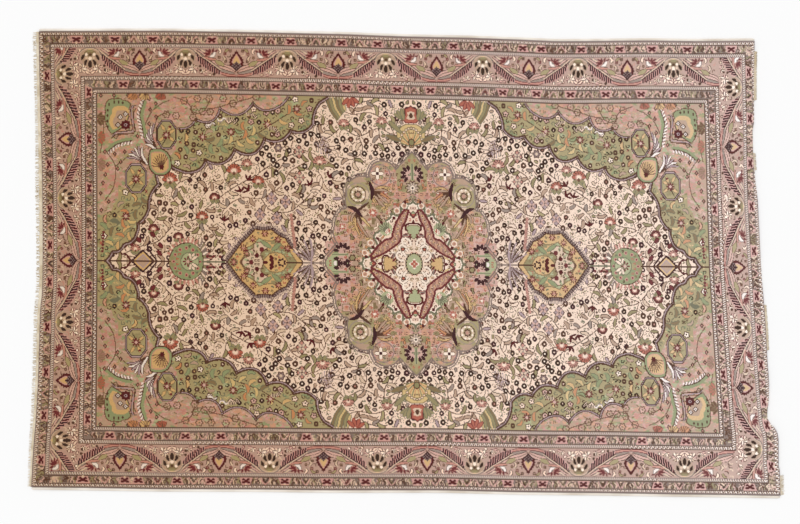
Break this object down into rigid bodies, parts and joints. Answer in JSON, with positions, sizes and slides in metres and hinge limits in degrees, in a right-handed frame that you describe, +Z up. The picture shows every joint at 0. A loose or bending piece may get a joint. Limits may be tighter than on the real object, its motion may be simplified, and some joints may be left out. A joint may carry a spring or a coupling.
{
  "type": "persian rug",
  "caption": "Flat rectangular hand-knotted wool rug with a floral medallion field, banded borders, bound long sides and short cotton end fringes, one corner torn.",
  "frame": {"origin": "on the floor under the middle of the whole rug's box", "axes": "+X along the rug's length, towards the end that has lost its fringe; +Y across it, towards the far selvedge; +Z up, out of the pile"},
  "size_m": [2.2774, 1.412, 0.008],
  "materials": {
    "pile_wool": "matt knotted wool pile with a cream, rose, maroon and sage pattern",
    "selvedge_wool": "matt overcast wool binding",
    "warp_cotton": "matt undyed cotton yarn"
  },
  "bodies": {
    "root": {"rug_body": "pile_wool", "selvedge_far": "selvedge_wool", "selvedge_near": "selvedge_wool", "fringe_left": "warp_cotton", "fringe_right_upper": "warp_cotton", "fringe_right_middle": "warp_cotton", "fringe_right_lower": "warp_cotton", "fringe_right_corner": "warp_cotton"}
  },
  "joints": []
}
